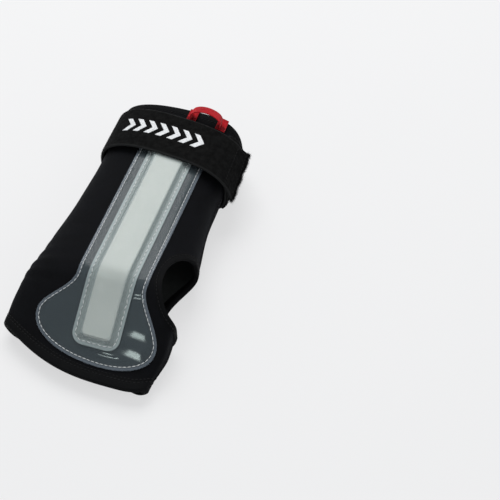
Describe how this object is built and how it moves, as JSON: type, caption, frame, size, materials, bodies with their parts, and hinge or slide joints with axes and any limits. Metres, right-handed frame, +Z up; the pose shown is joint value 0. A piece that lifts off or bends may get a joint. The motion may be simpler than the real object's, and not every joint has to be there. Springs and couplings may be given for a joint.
{
  "type": "wrist guard",
  "caption": "Palm-side wrist guard: soft sleeve with thumb hole, stitched clear sheets holding a bent splint, hook-and-loop strap and ribbon pull loop.",
  "frame": {"origin": "on the surface that the guard lies on, under the middle of its box", "axes": "+Y from the hand to the forearm, +X toward the thumb side, +Z up, away from the back of the hand"},
  "size_m": [0.1184, 0.218, 0.0602],
  "materials": {
    "neoprene": "matt knit face",
    "binding": "matt tape",
    "dark_thread": "matt",
    "white_thread": "satin",
    "clear_sheet": "gloss, see-through",
    "splint": "satin",
    "strap": "brushed",
    "pile": "looped pile",
    "hook": "matt",
    "ribbon": "satin ribbon",
    "red_thread": "matt"
  },
  "bodies": {
    "sleeve": {"palm_panel": "neoprene", "back_panel": "neoprene", "side_seam_thread": "dark_thread", "hand_binding": "binding", "hand_binding_thread": "dark_thread", "cuff_binding": "binding", "cuff_binding_thread": "dark_thread", "thumb_binding": "binding", "thumb_binding_thread": "dark_thread", "base_sheet": "clear_sheet", "base_thread": "white_thread", "splint": "splint", "pocket_sheet": "clear_sheet", "pocket_thread": "white_thread", "back_strap": "strap", "anchor_thread": "dark_thread", "loop_pile": "pile", "pile_thread": "dark_thread", "ribbon_tails": "ribbon", "tail_tacks": "red_thread"},
    "strap": {"band": "strap"},
    "tab": {"tab": "strap", "hook_patch": "hook", "tab_thread": "dark_thread"},
    "loop": {"pull_loop": "ribbon"}
  },
  "joints": [
    {"name": "strap_open", "type": "hinge", "parent": "sleeve", "child": "strap", "pos_m": [-0.04726, 0.08134, 0.0214], "axis": [0, -1, 0], "range_deg": [0, 110]},
    {"name": "tab_peel", "type": "hinge", "parent": "strap", "child": "tab", "pos_m": [0.04836, 0.07178, 0.04453], "axis": [0, -1, 0], "range_deg": [0, 120]},
    {"name": "pull_loop_swing", "type": "hinge", "parent": "sleeve", "child": "loop", "pos_m": [0.02154, 0.10076, 0.05269], "axis": [-0.994, 0, 0.1091], "range_deg": [-30, 60]}
  ]
}
